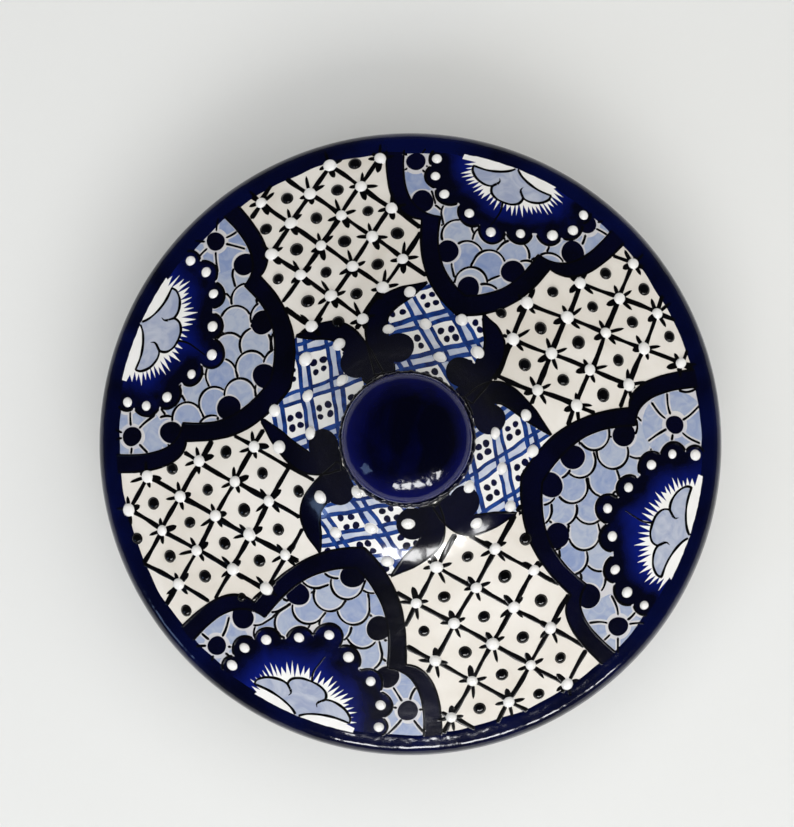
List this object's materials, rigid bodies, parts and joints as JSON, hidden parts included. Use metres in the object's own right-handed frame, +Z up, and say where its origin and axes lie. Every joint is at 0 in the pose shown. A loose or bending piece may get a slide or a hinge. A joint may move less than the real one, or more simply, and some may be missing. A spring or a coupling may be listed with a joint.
{
  "type": "tagine pot",
  "caption": "Glazed earthenware tagine: shallow footed dish under a wide low conical lid with a round knob, hand-painted in cobalt, cream and black.",
  "frame": {"origin": "centre of the circle the foot stands on", "axes": "+Z up along the axis the pot is turned about; +X passes over the widest of the four painted petals, 17.5 degrees counter-clockwise of its middle seen from above"},
  "size_m": [0.301, 0.301, 0.151],
  "materials": {
    "cream_glaze": "glossy warm cream glaze, faintly crazed and mottled",
    "cobalt_glaze": "glossy deep cobalt glaze",
    "black_glaze": "glossy blue-black raised line work",
    "pale_blue_glaze": "glossy watery light-blue wash",
    "mid_blue_glaze": "glossy mid-blue brush bands",
    "white_slip": "glossy white slip",
    "black_slip": "glossy black slip",
    "bare_clay": "matt unglazed red clay"
  },
  "bodies": {
    "base": {"base_dish": "cream_glaze"},
    "lid": {"lid_shell": "cream_glaze", "knob_collar": "cobalt_glaze", "lid_knob": "cobalt_glaze", "white_slip_beads": "white_slip", "black_slip_beads": "black_slip"}
  },
  "joints": [
    {"name": "lid_lift", "type": "slide", "parent": "base", "child": "lid", "axis": [0, 0, 1], "range_m": [0, 0.12]}
  ]
}
